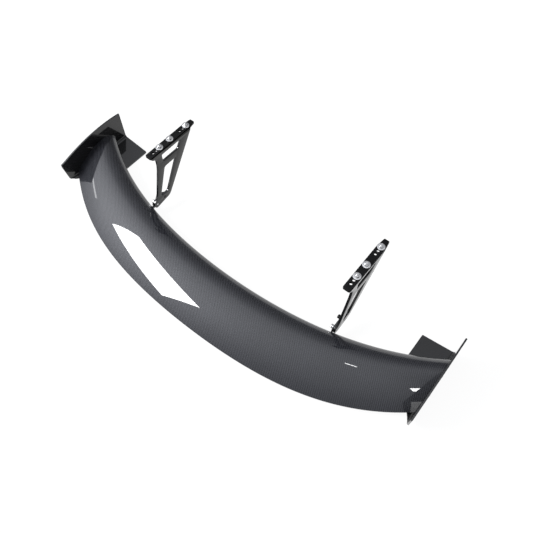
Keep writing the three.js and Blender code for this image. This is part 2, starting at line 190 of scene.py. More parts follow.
def settle(piece, smooth_angle):
    """Merges doubled points, turns the faces outwards and smooths all but the sharp edges."""
    mesh = bmesh.new()
    mesh.from_mesh(piece.data)
    bmesh.ops.remove_doubles(mesh, verts=mesh.verts, dist=1e-6)
    bmesh.ops.recalc_face_normals(mesh, faces=mesh.faces)
    limit = math.radians(smooth_angle)
    for face in mesh.faces:
        face.smooth = True
    for edge in mesh.edges:
        edge.smooth = len(edge.link_faces) == 2 and edge.calc_face_angle(math.pi) < limit
    mesh.to_mesh(piece.data)
    mesh.free()
    piece.data.update()


def plate(outline, holes, thickness, bevel=0.0007, rounds=3):
    """A flat plate with rounded rims, from z = 0 up to its thickness: (vertices, faces)."""
    loops = [outline if signed_area(outline) > 0 else outline[::-1]]
    loops += [hole if signed_area(hole) < 0 else hole[::-1] for hole in holes]
    levels = []
    for i in range(rounds + 1):
        angle = math.pi / 2 * i / rounds
        levels.append((bevel * (1 - math.sin(angle)), bevel * (1 - math.cos(angle))))
    levels += [(back, thickness - up) for back, up in reversed(levels)]
    vertices, faces = [], []
    caps = {0: [], len(levels) - 1: []}
    for loop in loops:
        start = len(vertices)
        count = len(loop)
        for level, (back, up) in enumerate(levels):
            ring = inset(loop, back) if back > 0 else loop
            vertices += [(x, y, up) for x, y in ring]
            if level in caps:
                caps[level].append(([Vector((x, y, 0)) for x, y in ring], start + level * count))
        for level in range(len(levels) - 1):
            for i in range(count):
                a, b = start + level * count + i, start + level * count + (i + 1) % count
                faces.append((a, b, b + count, a + count))
    for level, rings in caps.items():
        index = [first + i for ring, first in rings for i in range(len(ring))]
        for triangle in tessellate_polygon([ring for ring, _ in rings]):
            faces.append(tuple(index[i] for i in triangle))
    return vertices, faces


def moved(part, matrix):
    """A (vertices, faces) pair turned and shifted by a matrix."""
    vertices, faces = part
    return [matrix @ Vector(v) for v in vertices], faces


def standing(part, y=0):
    """A flat plate stood up: its outline's second axis becomes Z, and its thickness +Y from y."""
    vertices, faces = part
    return [(v[0], y + v[2], v[1]) for v in vertices], faces


def together(*parts):
    """Several (vertices, faces) pairs joined into one."""
    vertices, faces = [], []
    for some_vertices, some_faces in parts:
        start = len(vertices)
        vertices += [tuple(v) for v in some_vertices]
        faces += [tuple(i + start for i in face) for face in some_faces]
    return vertices, faces


def hexagon(angle):
    """How far a hexagon's side is at an angle, for 1 across half the flats."""
    sector = math.pi / 3
    return 1 / math.cos((angle + sector / 2) % sector - sector / 2)


def lathe(rows, steps=48):
    """A turned piece about Z from rows of (radius, height) or (radius, height, "hex")."""
    vertices, faces = [], []
    for row in rows:
        for i in range(steps):
            angle = 2 * math.pi * i / steps
            radius = row[0] * (hexagon(angle) if row[2:] == ("hex",) else 1)
            vertices.append((radius * math.cos(angle), radius * math.sin(angle), row[1]))
    for level in range(len(rows) - 1):
        for i in range(steps):
            a, b = level * steps + i, level * steps + (i + 1) % steps
            faces.append((a, b, b + steps, a + steps))
    if rows[0][0] > 0:
        faces.append(tuple(range(steps))[::-1])
    if rows[-1][0] > 0:
        last = (len(rows) - 1) * steps
        faces.append(tuple(range(last, last + steps)))
    return vertices, faces


# ---- materials ------------------------------------------------------------------------------------

def node_material(name):
    material = bpy.data.materials.new(name)
    material.use_nodes = True
    return material, material.node_tree.nodes, material.node_tree.links


def math_node(nodes, links, operation, *inputs):
    node = nodes.new("ShaderNodeMath")
    node.operation = operation
    for socket, value in zip(node.inputs, inputs):
        if isinstance(value, (int, float)):
            socket.default_value = value
        else:
            links.new(value, socket)
    return node.outputs[0]


def ramp_node(nodes, links, factor, stops):
    node = nodes.new("ShaderNodeValToRGB")
    links.new(factor, node.inputs[0])
    elements = node.color_ramp.elements
    while len(elements) < len(stops):
        elements.new(0.5)
    for element, (place, colour) in zip(elements, stops):
        element.position = place
        element.color = (*colour, 1)
    return node.outputs[0]


def noise_node(nodes, links, place, scale, detail):
    node = nodes.new("ShaderNodeTexNoise")
    node.inputs["Scale"].default_value = scale
    node.inputs["Detail"].default_value = detail
    links.new(place, node.inputs["Vector"])
    return node.outputs[0]


def add_bump(nodes, links, height, strength, distance):
    """Raises the surface of the material's shader by a height, over a distance in metres."""
    node = nodes.new("ShaderNodeBump")
    node.inputs["Strength"].default_value = strength
    node.inputs["Distance"].default_value = distance
    links.new(height, node.inputs["Height"])
    links.new(node.outputs[0], nodes["Principled BSDF"].inputs["Normal"])


def carbon(name, warp_with_sheen, weft, tow, metallic, rough, coat, coat_rough, relief):
    """Twill-weave carbon under resin, with a painted sheen: the warp tows are coloured lighter than the weft
    tows. The weave runs on the UV map, which is in metres.
    """
    material, nodes, links = node_material(name)
    shader = nodes["Principled BSDF"]
    place = nodes.new("ShaderNodeUVMap")
    place.uv_map = "weave"
    split = nodes.new("ShaderNodeSeparateXYZ")
    links.new(place.outputs[0], split.inputs[0])
    across = math_node(nodes, links, "DIVIDE", split.outputs[0], tow)
    along = math_node(nodes, links, "DIVIDE", split.outputs[1], tow)
    columns = math_node(nodes, links, "FLOOR", across)
    rows = math_node(nodes, links, "FLOOR", along)
    diagonal = math_node(nodes, links, "ADD", columns, rows)
    step = math_node(nodes, links, "FLOORED_MODULO", diagonal, 4.0)
    over = math_node(nodes, links, "LESS_THAN", step, 1.5)

    def crown(value):
        part = math_node(nodes, links, "FRACT", value)
        centred = math_node(nodes, links, "SUBTRACT", part, 0.5)
        square = math_node(nodes, links, "MULTIPLY", centred, centred)
        return math_node(nodes, links, "MULTIPLY_ADD", square, -4.0, 1.0)

    height = nodes.new("ShaderNodeMix")
    links.new(over, height.inputs[0])
    links.new(crown(along), height.inputs[2])
    links.new(crown(across), height.inputs[3])

    fibres = noise_node(nodes, links, place.outputs[0], scale=900, detail=2)
    clouds = noise_node(nodes, links, place.outputs[0], scale=7, detail=3)
    # Painted sheen: the real twill pattern, with the warp tows given a lighter colour than the weft tows in
    # place of their reflection.
    colour = nodes.new("ShaderNodeMix")
    colour.data_type = "RGBA"
    links.new(over, colour.inputs[0])
    colour.inputs[6].default_value = (*weft, 1)
    colour.inputs[7].default_value = (*warp_with_sheen, 1)
    shade = math_node(nodes, links, "MULTIPLY_ADD", fibres, 0.5, 0.75)
    cloud = math_node(nodes, links, "MULTIPLY_ADD", clouds, 0.5, 0.75)
    tone = math_node(nodes, links, "MULTIPLY", shade, cloud)
    tinted = nodes.new("ShaderNodeVectorMath")
    tinted.operation = "SCALE"
    links.new(colour.outputs[2], tinted.inputs[0])
    links.new(tone, tinted.inputs[3])
    links.new(tinted.outputs[0], shader.inputs["Base Color"])

    roughness = math_node(nodes, links, "MULTIPLY_ADD", fibres, 0.2, rough - 0.1)
    links.new(roughness, shader.inputs["Roughness"])
    add_bump(nodes, links, height.outputs[0], relief, 0.0003)
    shader.inputs["Metallic"].default_value = metallic
    shader.inputs["Specular IOR Level"].default_value = 0.08
    shader.inputs["Coat Weight"].default_value = coat
    shader.inputs["Coat Roughness"].default_value = coat_rough
    shader.inputs["Coat IOR"].default_value = 1.45
    return material


def black_coat(name, rough, gloss, peel_height):
    """Black coated aluminium: a fine orange-peel texture under soft, lighter and duller clouds."""
    material, nodes, links = node_material(name)
    shader = nodes["Principled BSDF"]
    place = nodes.new("ShaderNodeTexCoord").outputs["Object"]
    peel = noise_node(nodes, links, place, scale=1600, detail=3)
    rub = noise_node(nodes, links, place, scale=35, detail=5)
    colour = ramp_node(nodes, links, rub, [(0.3, (0.0012, 0.0012, 0.0013)), (0.75, (0.0028, 0.0028, 0.0030))])
    links.new(colour, shader.inputs["Base Color"])
    roughness = math_node(nodes, links, "MULTIPLY_ADD", rub, 0.12, rough)
    links.new(roughness, shader.inputs["Roughness"])
    add_bump(nodes, links, peel, peel_height, 0.0002)
    shader.inputs["Specular IOR Level"].default_value = gloss
    return material


def steel(name, dark, light, rough):
    """Plated or blackened steel, slightly cloudy and finely grained."""
    material, nodes, links = node_material(name)
    shader = nodes["Principled BSDF"]
    place = nodes.new("ShaderNodeTexCoord").outputs["Object"]
    cloud = noise_node(nodes, links, place, scale=260, detail=4)
    grain = noise_node(nodes, links, place, scale=3000, detail=2)
    colour = ramp_node(nodes, links, cloud, [(0.3, (dark,) * 3), (0.7, (light,) * 3)])
    links.new(colour, shader.inputs["Base Color"])
    roughness = math_node(nodes, links, "MULTIPLY_ADD", cloud, 0.25, rough)
    links.new(roughness, shader.inputs["Roughness"])
    add_bump(nodes, links, grain, 0.15, 0.0001)
    shader.inputs["Metallic"].default_value = 1
    return material


# The first two colours are the warp tows, lighter by a painted sheen, and the weft tows.
GLOSS_CARBON = carbon("gloss_carbon_twill", (0.021, 0.022, 0.026), (0.004, 0.004, 0.006), 0.0018,
                      metallic=0.2, rough=0.5, coat=1.0, coat_rough=0.015, relief=0.3)
SATIN_CARBON = carbon("satin_carbon_twill", (0.004, 0.004, 0.0045), (0.0025, 0.0025, 0.003), 0.0022,
                      metallic=0.0, rough=0.4, coat=1.0, coat_rough=0.03, relief=0.03)
RAW_CARBON = carbon("raw_carbon_twill", (0.035, 0.035, 0.037), (0.020, 0.020, 0.022), 0.0022,
                    metallic=0.1, rough=0.6, coat=0.0, coat_rough=0.3, relief=0.5)
BLACK_ALUMINIUM = black_coat("black_aluminium_web", rough=0.08, gloss=0.5, peel_height=0.08)
MATT_ALUMINIUM = black_coat("black_aluminium_flange", rough=0.40, gloss=0.12, peel_height=0.25)
STEELS = {
    "zinc_steel": steel("bright_zinc", dark=0.42, light=0.66, rough=0.12),
    "black_steel": steel("black_oxide", dark=0.012, light=0.022, rough=0.22),
}


# ---- blade ----------------------------------------------------------------------------------------

def edge_point(edge, y):
    """Where the leading or trailing edge is at y, as (x, z)."""
    s = abs(y) / HALF_SPAN
    x = edge["mid"] + edge["bow"] * s ** 2 + edge["hook"] * s ** 4
    return Vector((x, edge["height"] + edge["rise"] * s ** edge["power"]))


def camber_at(f):
    """Height of the camber line at a fraction of the chord, in chords."""
    if f < CAMBER_AT:
        return CAMBER / CAMBER_AT ** 2 * (2 * CAMBER_AT * f - f * f)
    return CAMBER / (1 - CAMBER_AT) ** 2 * (1 - 2 * CAMBER_AT + 2 * CAMBER_AT * f - f * f)


def thickness_at(f):
    """Half the section's thickness at a fraction of the chord, in chords."""
    series = 0.2969 * math.sqrt(f) - 0.126 * f - 0.3516 * f ** 2 + 0.2843 * f ** 3 - 0.1015 * f ** 4
    return 5 * THICKNESS * series


def blade_point(y, f, side, depth=0.0):
    """A point on the shell, at a depth below its surface: side 1 is suction, -1 pressure."""
    nose = edge_point(LEADING, y)
    along = edge_point(TRAILING, y) - nose
    chord = along.length
    up = Vector((along.y, -along.x)) / chord
    half = chord * thickness_at(f) + TRAILING_THICK / 2 * f
    above = camber_at(f) * chord + side * max(half - depth, SEAM / 2)
    point = nose + along * f + up * above
    return Vector((point.x, y, point.y))


def chord_fractions(steps):
    """Fractions from nose to tail, crowded towards the nose, where the curve is tight."""
    reach = math.pi * NOSE_CROWDING
    return [(1 - math.cos(reach * i / steps)) / (1 - math.cos(reach)) for i in range(steps + 1)]


def build_skin(side, name, node):
    """One half of the blade's shell, with the weave laid along its surface."""
    fractions = chord_fractions(CHORD_STEPS)
    count = len(fractions)
    vertices, faces, places = [], [], []
    for k in range(SPAN_STEPS + 1):
        y = HALF_SPAN * (2 * k / SPAN_STEPS - 1)
        outer = [blade_point(y, f, side) for f in fractions]
        inner = [blade_point(y, f, side, SKIN) for f in fractions]
        ring = outer + inner[::-1]
        run = -ring[0].x
        for i, point in enumerate(ring):
            run += (point - ring[i - 1]).length if i else 0
            places.append((run, y))
        vertices += ring
    ring_count = 2 * count
    for k in range(SPAN_STEPS):
        for i in range(ring_count):
            a, b = k * ring_count + i, k * ring_count + (i + 1) % ring_count
            faces.append((a, b, b + ring_count, a + ring_count))
    for k in (0, SPAN_STEPS):
        for i in range(count - 1):
            a = k * ring_count + i
            far = k * ring_count + ring_count - 1 - i
            faces.append((a, a + 1, far - 1, far))
    piece = new_piece(name, vertices, faces, "blade_assembly", node, "gloss_carbon", GLOSS_CARBON)
    lay_weave(piece, places_by_point(vertices, places))


def places_by_point(vertices, places):
    """The weave's place at each vertex, by the vertex's rounded position."""
    return {tuple(round(c, 6) for c in v): place for v, place in zip(vertices, places)}


def lay_weave(piece, places=None):
    """Writes the weave's UV map in metres, from given places or flat along each face's main axis."""
    mesh = piece.data
    layer = mesh.uv_layers.new(name="weave")
    for polygon in mesh.polygons:
        normal = [abs(c) for c in polygon.normal]
        flat = normal.index(max(normal))
        for loop in polygon.loop_indices:
            point = mesh.vertices[mesh.loops[loop].vertex_index].co
            if places:
                layer.data[loop].uv = places[tuple(round(c, 6) for c in point)]
            else:
                layer.data[loop].uv = [c for axis, c in enumerate(point) if axis != flat]


# ---- end plates -----------------------------------------------------------------------------------

def plan_limit(y):
    """How far forward the panel's rear edge has come at y, from the plan outline."""
    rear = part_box("endplate_left")[0].x
    start = (rear + FOOT_INSET, HALF_WIDTH - 0.030)
    control = (PANEL["corner"] - 0.020, PANEL["inner"])
    end = (PANEL["corner"], PANEL["inner"])
    line = [(rear, HALF_WIDTH), (rear, HALF_WIDTH - 0.008), (rear + 0.024, HALF_WIDTH - 0.010)]
    line += curve(start, control, end, 24)
    for (xa, ya), (xb, yb) in zip(line, line[1:]):
        if yb <= y <= ya and ya > yb:
            return xa + (xb - xa) * (ya - y) / (ya - yb)
    return line[-1][0]


def side_limit(z):
    """How far forward the wall's rear edge has come at height z, from the side outline."""
    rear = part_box("endplate_left")[0].x
    line = arc(rear + HIGH_CORNER, HIGH_CORNER_TOP - HIGH_CORNER, HIGH_CORNER, 120, 180, 10)
    line += arc(rear + LOW_CORNER_LEAN + LOW_CORNER, 0.033, LOW_CORNER, 180, 228, 12)
    line += [(rear + FOOT_INSET, -0.001)]
    for (xa, za), (xb, zb) in zip(line, line[1:]):
        if zb <= z <= za:
            return xa + (xb - xa) * (za - z) / max(za - zb, 1e-9)
    return rear


class Bend:
    """The end plate's section: a wall, a bend inwards and a sloping panel.

    t runs down the outer face from the start of the bend, and n is the depth below that face.
    """

    def __init__(self):
        self.radius = PANEL["bend"]
        slope = math.radians(PANEL["slope"])
        self.turn = math.pi / 2 - slope
        self.centre_y = HALF_WIDTH - self.radius
        reach = self.centre_y + self.radius * math.sin(slope) - PANEL["inner"]
        self.centre_z = self.radius * math.cos(slope) + reach * math.tan(slope)
        self.bend_length = self.radius * self.turn
        self.length = self.bend_length + reach / math.cos(slope)

    def place(self, x, t, n):
        angle = min(max(t, 0) / self.radius, self.turn)
        beyond = max(t - self.bend_length, 0)
        above = max(-t, 0)
        radius = self.radius - n
        y = self.centre_y + radius * math.cos(angle) - beyond * math.sin(angle)
        z = self.centre_z - radius * math.sin(angle) - beyond * math.cos(angle) + above
        return x, y, z


def end_plate_outline(bend):
    """The unrolled outline in x and t, with a small radius on each front corner."""
    low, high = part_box("endplate_left")
    top = curve((high.x, 0.132), (0.060, 0.150), (low.x + 0.014, 0.107), 30)
    corner = 0.003
    outline = arc(high.x - corner, bend.length - corner, corner, 90, 0, 5)
    outline += [(x, bend.centre_z - z) for x, z in top]
    steps = 64
    start = bend.centre_z - top[-1][1]
    for i in range(1, steps + 1):
        t = start + (bend.length - start) * i / steps
        _, y, z = bend.place(0, t, 0)
        outline.append((max(side_limit(z), plan_limit(y)), t))
    return outline


def build_end_plate(side):
    """A sheet cut out flat, sliced where it bends, thickened and then bent into place."""
    bend = Bend()
    sheet = bmesh.new()
    corners = [sheet.verts.new((x, t, 0)) for x, t in end_plate_outline(bend)]
    sheet.faces.new(corners)
    cuts = [bend.bend_length * i / BEND_STEPS for i in range(BEND_STEPS + 1)]
    cuts += [-0.004, -0.03, -0.06, bend.bend_length + 0.004, bend.bend_length + 0.04]
    for t in cuts:
        geometry = sheet.verts[:] + sheet.edges[:] + sheet.faces[:]
        bmesh.ops.bisect_plane(sheet, geom=geometry, plane_co=(0, t, 0), plane_no=(0, 1, 0))
    raised = bmesh.ops.extrude_face_region(sheet, geom=sheet.faces[:], use_keep_orig=True)
    for item in raised["geom"]:
        if isinstance(item, bmesh.types.BMVert):
            item.co.z = END_WALL
    for vertex in sheet.verts:
        x, y, z = bend.place(*vertex.co)
        vertex.co = (x, SIDES[side] * y, z)
    vertices = [v.co.copy() for v in sheet.verts]
    faces = [tuple(v.index for v in face.verts) for face in sheet.faces]
    sheet.free()
    piece = new_piece(f"end_plate_{side}", vertices, faces, "blade_assembly", f"endplate_{side}",
                      "satin_carbon", SATIN_CARBON)
    lay_weave(piece)
    soften(piece, END_PLATE_RIM)


def soften(piece, width, segments=3):
    """Rounds the sharp rims of a piece."""
    bevel = piece.modifiers.new("rounded_rims", "BEVEL")
    bevel.width = width
    bevel.segments = segments
    bevel.limit_method = "ANGLE"
    bevel.angle_limit = math.radians(40)
    bevel.harden_normals = False
    weighted = piece.modifiers.new("even_shading", "WEIGHTED_NORMAL")
    weighted.keep_sharp = True


# ---- uprights -------------------------------------------------------------------------------------

def upright_outline():
    """The web seen from the side, in x and z, counter-clockwise from its foot."""
    return [
        *arc(*PIVOT, PIVOT_BOSS, 165, 262, 24),
        (0.056, 0.0355),
        *curve((0.070, 0.0375), (0.082, 0.040), (0.090, 0.053), 12),
        (0.218, 0.236),
        (0.224, FLANGE_TOP - 0.001),
        (FLANGE_REAR + 0.004, FLANGE_TOP - 0.001),
        *curve((FLANGE_REAR + 0.001, 0.247), (FLANGE_REAR + 0.004, 0.238), (0.054, 0.233), 10),
        *curve((0.0585, 0.228), (0.062, 0.208), (0.0555, 0.178), 12),
        *curve((0.033, 0.092), (0.027, 0.066), (0.010, 0.057), 12),
    ]


def upright_windows():
    """The slot under the flange and the triangle below it, in x and z."""
    slot = [
        *arc(0.089, 0.206, 0.004, 180, 270, 6),
        (0.150, 0.202),
        *curve((0.153, 0.2035), (0.156, 0.205), (0.158, 0.209), 4),
        (0.170, 0.226),
        *curve((0.1715, 0.230), (0.171, 0.232), (0.168, 0.232), 4),
        *arc(0.089, 0.228, 0.004, 90, 180, 6),
    ]
    triangle = [
        *curve((0.045, 0.073), (0.042, 0.063), (0.052, 0.063), 8),
        *curve((0.069, 0.063), (0.076, 0.063), (0.080, 0.071), 8),
        (0.133, 0.167),
        *curve((0.137, 0.174), (0.138, 0.177), (0.132, 0.177), 6),
        *curve((0.096, 0.177), (0.085, 0.177), (0.082, 0.168), 8),
    ]
    return [slot, triangle]


def flange_outline():
    """The flange seen from above, in x and y, with a narrower front end."""
    rear_corner = 0.006
    front_corner = 0.003
    return [
        *arc(FLANGE_REAR + rear_corner, rear_corner, rear_corner, 180, 270, 8),
        (0.222, 0),
        *arc(FLANGE_FRONT - front_corner, 0.006, front_corner, -75, 0, 6),
        *arc(FLANGE_FRONT - front_corner, 0.018, front_corner, 0, 75, 6),
        (0.208, FLANGE_WIDTH),
        *arc(FLANGE_REAR + rear_corner, FLANGE_WIDTH - rear_corner, rear_corner, 90, 180, 8),
    ]


def angle_point(degrees):
    """A point on the angle bolt's path round the pivot, in x and z."""
    angle = math.radians(degrees)
    return PIVOT[0] + ANGLE_RADIUS * math.cos(angle), PIVOT[1] + ANGLE_RADIUS * math.sin(angle)


def build_upright(side):
    """A glossy web and a matt flange, joined as one L-section piece."""
    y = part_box(f"upright_{side}")[0].y
    bolt_holes = [circle(*PIVOT, HOLE_RADIUS), circle(*angle_point(ANGLE_AT), HOLE_RADIUS)]
    web = standing(plate(upright_outline(), [*upright_windows(), *bolt_holes], PLATE_THICK, 0.0008))
    holes = [circle(HOLE_CENTRE + offset, FLANGE_WIDTH / 2, HOLE_RADIUS) for offset in HOLE_OFFSETS]
    flange = plate(flange_outline(), holes, FLANGE_THICK, 0.0010)
    flange = moved(flange, Matrix.Translation((0, 0, FLANGE_TOP - FLANGE_THICK)))
    shape = moved(together(web, flange), Matrix.Translation((0, y, 0)))
    piece = new_piece(f"upright_plate_{side}", *shape, f"upright_{side}", f"upright_{side}",
                      "black_aluminium", BLACK_ALUMINIUM)
    piece.data.materials.append(MATT_ALUMINIUM)
    for face in piece.data.polygons:
        face.material_index = int(face.center.z > FLANGE_TOP - FLANGE_THICK)


def build_bracket(side):
    """The blade's bracket: an upright tab with the angle bolt's slot, on a flat foot."""
    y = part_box(f"blade_bracket_{side}")[0].y
    bolt = angle_point(ANGLE_AT)
    rear, front = BRACKET["rear"], BRACKET["front"]
    top, bottom = BRACKET["top"], BRACKET["bottom"]
    outline = [
        (rear, top),
        (rear, bottom + 0.004),
        (front, bottom),
        *arc(*PIVOT, PIVOT_BOSS, -100, -70, 8),
        *arc(*bolt, ANGLE_BOSS, -70, 105, 24),
        *arc(*PIVOT, PIVOT_BOSS, 100, 180, 14),
        (PIVOT[0] - PIVOT_BOSS, top),
    ]
    low, high = ANGLE_AT - ANGLE_TRAVEL, ANGLE_AT + ANGLE_TRAVEL
    slot = [
        *arc(*PIVOT, ANGLE_RADIUS + HOLE_RADIUS, low, high, 8),
        *arc(*angle_point(high), HOLE_RADIUS, high, high + 180, 16)[1:-1],
        *arc(*PIVOT, ANGLE_RADIUS - HOLE_RADIUS, high, low, 8),
        *arc(*angle_point(low), HOLE_RADIUS, low + 180, low + 360, 16)[1:-1],
    ]
    rim = 0.0005
    thick = BRACKET["thick"]
    tab = standing(plate(outline, [circle(*PIVOT, HOLE_RADIUS), slot], thick, rim))
    foot_outline = [
        (rear, 0),
        (front, 0),
        *arc(front - FOOT_CORNER, FOOT_WIDTH - FOOT_CORNER, FOOT_CORNER, 0, 90, 8),
        *arc(rear + FOOT_CORNER, FOOT_WIDTH - FOOT_CORNER, FOOT_CORNER, 90, 180, 8),
    ]
    holes = [circle(x, BRACKET_SCREW_Y, FOOT_HOLE) for x in BRACKET_SCREWS_X]
    foot = moved(plate(foot_outline, holes, thick, rim), Matrix.Translation((0, 0, top - thick)))
    shape = moved(together(tab, foot), Matrix.Translation((0, y, 0)))
    new_piece(f"bracket_{side}", *shape, "blade_assembly", f"blade_bracket_{side}",
              "black_aluminium", BLACK_ALUMINIUM)


# ---- fasteners, turned about Z with the seat at z = 0 ----------------------------------------------

def threaded(radius, bottom, top, pitch=0.00125, depth=0.0006, steps=32):
    """A threaded rod between two heights, with tapered ends."""
    vertices, faces = [], []
    rings = int((top - bottom) / pitch * 6)
    for k in range(rings + 1):
        height = bottom + (top - bottom) * k / rings
        for i in range(steps):
            angle = 2 * math.pi * i / steps
            turn = (height / pitch - i / steps) % 1
            groove = depth * min(1, 1.25 * abs(2 * turn - 1))
            ends = min(height - bottom, top - height)
            r = radius - max(groove, radius * 0.22 - ends)
            vertices.append((r * math.cos(angle), r * math.sin(angle), height))
    for k in range(rings):
        for i in range(steps):
            a, b = k * steps + i, k * steps + (i + 1) % steps
            faces.append((a, b, b + steps, a + steps))
    faces.append(tuple(range(steps))[::-1])
    faces.append(tuple(range(rings * steps, (rings + 1) * steps)))
    return vertices, faces


def washer_shape(outer, bore, thick):
    """A flat washer with rounded edges; outer and bore are radii."""
    edge = thick * 0.22
    return lathe([
        (bore, 0), (outer - edge, 0), (outer - edge * 0.3, edge * 0.3), (outer, edge), (outer, thick - edge),
        (outer - edge * 0.3, thick - edge * 0.3), (outer - edge, thick), (bore + edge, thick),
        (bore, thick - edge), (bore, 0),
    ], 64)


def nut_shape(across_flats, bore, height):
    """A hexagon nut, chamfered top and bottom, with a countersunk bore; bore is a radius."""
    steps = 72
    flat = across_flats / 2
    sink = 0.06
    levels = [0, 0.06, 0.13, 0.2, 0.8, 0.87, 0.94, 1]
    heights = [0, *(level * height for level in levels), height, height * (1 - sink), height * sink]
    rows = [[bore * 1.08] * steps]
    for level in levels:
        cone = flat * 0.97 + min(level, 1 - level) * height * 1.73
        rows.append([min(flat * hexagon(2 * math.pi * i / steps), cone) for i in range(steps)])
    rows += [[bore * 1.08] * steps, [bore] * steps, [bore] * steps]
    vertices, faces = [], []
    for row, z in zip(rows, heights):
        for i, radius in enumerate(row):
            angle = 2 * math.pi * i / steps
            vertices.append((radius * math.cos(angle), radius * math.sin(angle), z))
    for k in range(len(rows)):
        for i in range(steps):
            here, there = k * steps, (k + 1) % len(rows) * steps
            j = (i + 1) % steps
            faces.append((here + i, here + j, there + j, there + i))
    return vertices, faces


def cap_bolt_shape(radius, length):
    """A socket-head cap bolt: knurled head, hexagon socket and threaded shank."""
    head, height = radius * 1.625, radius * 2
    steps = 144
    rows = [
        (radius * 0.9, 0), (head - 0.0003, 0), (head, 0.0003), (head, height * 0.8),
        (head - 0.0003, height * 0.9), (head - 0.0009, height),
        (radius * 0.86, height), (radius * 0.75, height - 0.0005, "hex"),
        (radius * 0.75, height * 0.45, "hex"), (radius * 0.3, height * 0.42), (0.00001, height * 0.40),
    ]
    vertices, faces = lathe(rows, steps)
    for k in (2, 3):
        for i in range(steps):
            x, y, z = vertices[k * steps + i]
            scale = 1 - 0.018 * (i % 4 in (0, 1))
            vertices[k * steps + i] = (x * scale, y * scale, z)
    return together((vertices, faces), threaded(radius, -length, 0.0002))


def button_screw_shape(radius, length):
    """A button-head screw: domed head, hexagon socket and threaded shank."""
    head = 2 * radius
    dome = radius * 1.1
    rows = [(radius * 0.8, 0), (head * 0.98, 0), (head, dome * 0.08)]
    crown = radius * 0.85
    for i in range(1, 9):
        angle = math.pi / 2 * i / 9
        rows.append((crown + (head - crown) * math.cos(angle), dome * (0.08 + 0.92 * math.sin(angle))))
    rows += [(radius * 0.80, dome), (radius * 0.62, dome * 0.95, "hex"), (radius * 0.62, dome * 0.3, "hex"),
             (radius * 0.2, dome * 0.26), (0.00001, dome * 0.25)]
    return together(lathe(rows, 60), threaded(radius, -length, 0.0002, 0.001, 0.0005, 24))


def fasten(name, shape, node, body, place, direction="up", slot="zinc_steel"):
    """Puts a fastener in the CAD node's place: direction is where its head or far end points."""
    turns = {
        "up": Matrix.Identity(4),
        "down": Matrix.Rotation(math.pi, 4, "X"),
        "left": Matrix.Rotation(-math.pi / 2, 4, "X"),
        "right": Matrix.Rotation(math.pi / 2, 4, "X"),
    }
    spin = Matrix.Rotation(spins.uniform(0, math.pi / 3), 4, "Z")
    matrix = Matrix.Translation(place) @ turns[direction] @ spin
    new_piece(name, *moved(shape, matrix), body, node, slot, STEELS[slot])


def middle_of(node):
    """The middle of a CAD node's box."""
    low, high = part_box(node)
    return (low + high) / 2


def build_flange_hardware(side):
    """Three studs through the flange, each with a washer and a nut on top."""
    body = f"upright_{side}"
    for i in (1, 2, 3):
        for kind, shape in FLANGE_SHAPES.items():
            node = f"flange_{kind}_{side}_{i}"
            place = middle_of(node)
            place.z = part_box(node)[0].z
            fasten(f"{kind}_{side}_{i}", shape, node, body, place)


def build_joint_hardware(side):
    """The pivot and angle bolts with their washers, and the screws that hold the bracket's foot."""
    body = f"upright_{side}"
    for use, slot in (("pivot", "zinc_steel"), ("angle", "black_steel")):
        node = f"{use}_washer_{side}"
        place = middle_of(node)
        place.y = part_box(node)[0].y
        fasten(f"{use}_ring_{side}", washer_shape(**JOINT_WASHER), node, body, place, "left", slot)
        node = f"{use}_bolt_{side}"
        shape = cap_bolt_shape(M8, JOINT_BOLT_LENGTH)
        place = middle_of(node)
        place.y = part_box(node)[1].y - 2 * M8
        fasten(f"{use}_cap_bolt_{side}", shape, node, body, place, "left", slot)
    for i in (1, 2):
        node = f"bracket_screw_{side}_{i}"
        shape = button_screw_shape(M6, FOOT_SCREW_LENGTH)
        place = middle_of(node)
        place.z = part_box(node)[0].z + FOOT_SCREW_DOME
        fasten(f"foot_screw_{side}_{i}", shape, node, "blade_assembly", place, "down")


def build_end_screws(side):
    """Three screws through the end plate's wall into the tip rib."""
    for i in (1, 2, 3):
        node = f"endplate_screw_{side}_{i}"
        shape = button_screw_shape(M5, END_SCREW_LENGTH)
        place = middle_of(node)
        place.y = SIDES[side] * (HALF_WIDTH + SEAM)
        fasten(f"end_screw_{side}_{i}", shape, node, "blade_assembly", place, side)


# ---- assembly -------------------------------------------------------------------------------------

spins = random.Random(7)
FLANGE_SHAPES = {
    "stud": threaded(M8, 0, STUD_LENGTH),
    "washer": washer_shape(**FLANGE_WASHER),
    "nut": nut_shape(**FLANGE_NUT),
}

build_skin(1, "blade_upper_shell", "blade_suction_skin")
build_skin(-1, "blade_lower_shell", "blade_pressure_skin")
for side in SIDES:
    build_end_plate(side)
    build_upright(side)
    build_bracket(side)
    build_flange_hardware(side)
    build_joint_hardware(side)
    build_end_screws(side)

# The CAD nodes that nothing replaces are inside the blade: they stay, in raw carbon.
for node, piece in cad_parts.items():
    if piece.hide_render:
        continue
    piece.data.materials.clear()
    piece.data.materials.append(RAW_CARBON)
    if "weave" not in piece.data.uv_layers:
        lay_weave(piece)


# ---- stage ----------------------------------------------------------------------------------------

FLOOR = {"half": 40, "height": -0.0004, "colour": 0.06, "emission": 0.93}

# The sky is brightest at the horizon, overhead and round the softbox. Directions are unit vectors.
SKY_COLOUR = (0.93, 0.95, 1.0)
SKY_STRENGTH = 2.0
SKY_LEVELS = [(0.0, 0.85), (0.08, 0.22), (0.34, 0.18), (0.64, 0.36), (0.87, 0.62), (1.0, 0.86)]
AHEAD_DIMMING = -0.4  # change in level towards the car's front
GLOW = {"direction": (-0.37, 0.70, 0.616), "sharpness": 10.0, "amount": 1.5}
SHADE = {"direction": (0.05, -0.50, 0.865), "sharpness": 24.0, "amount": -0.9}

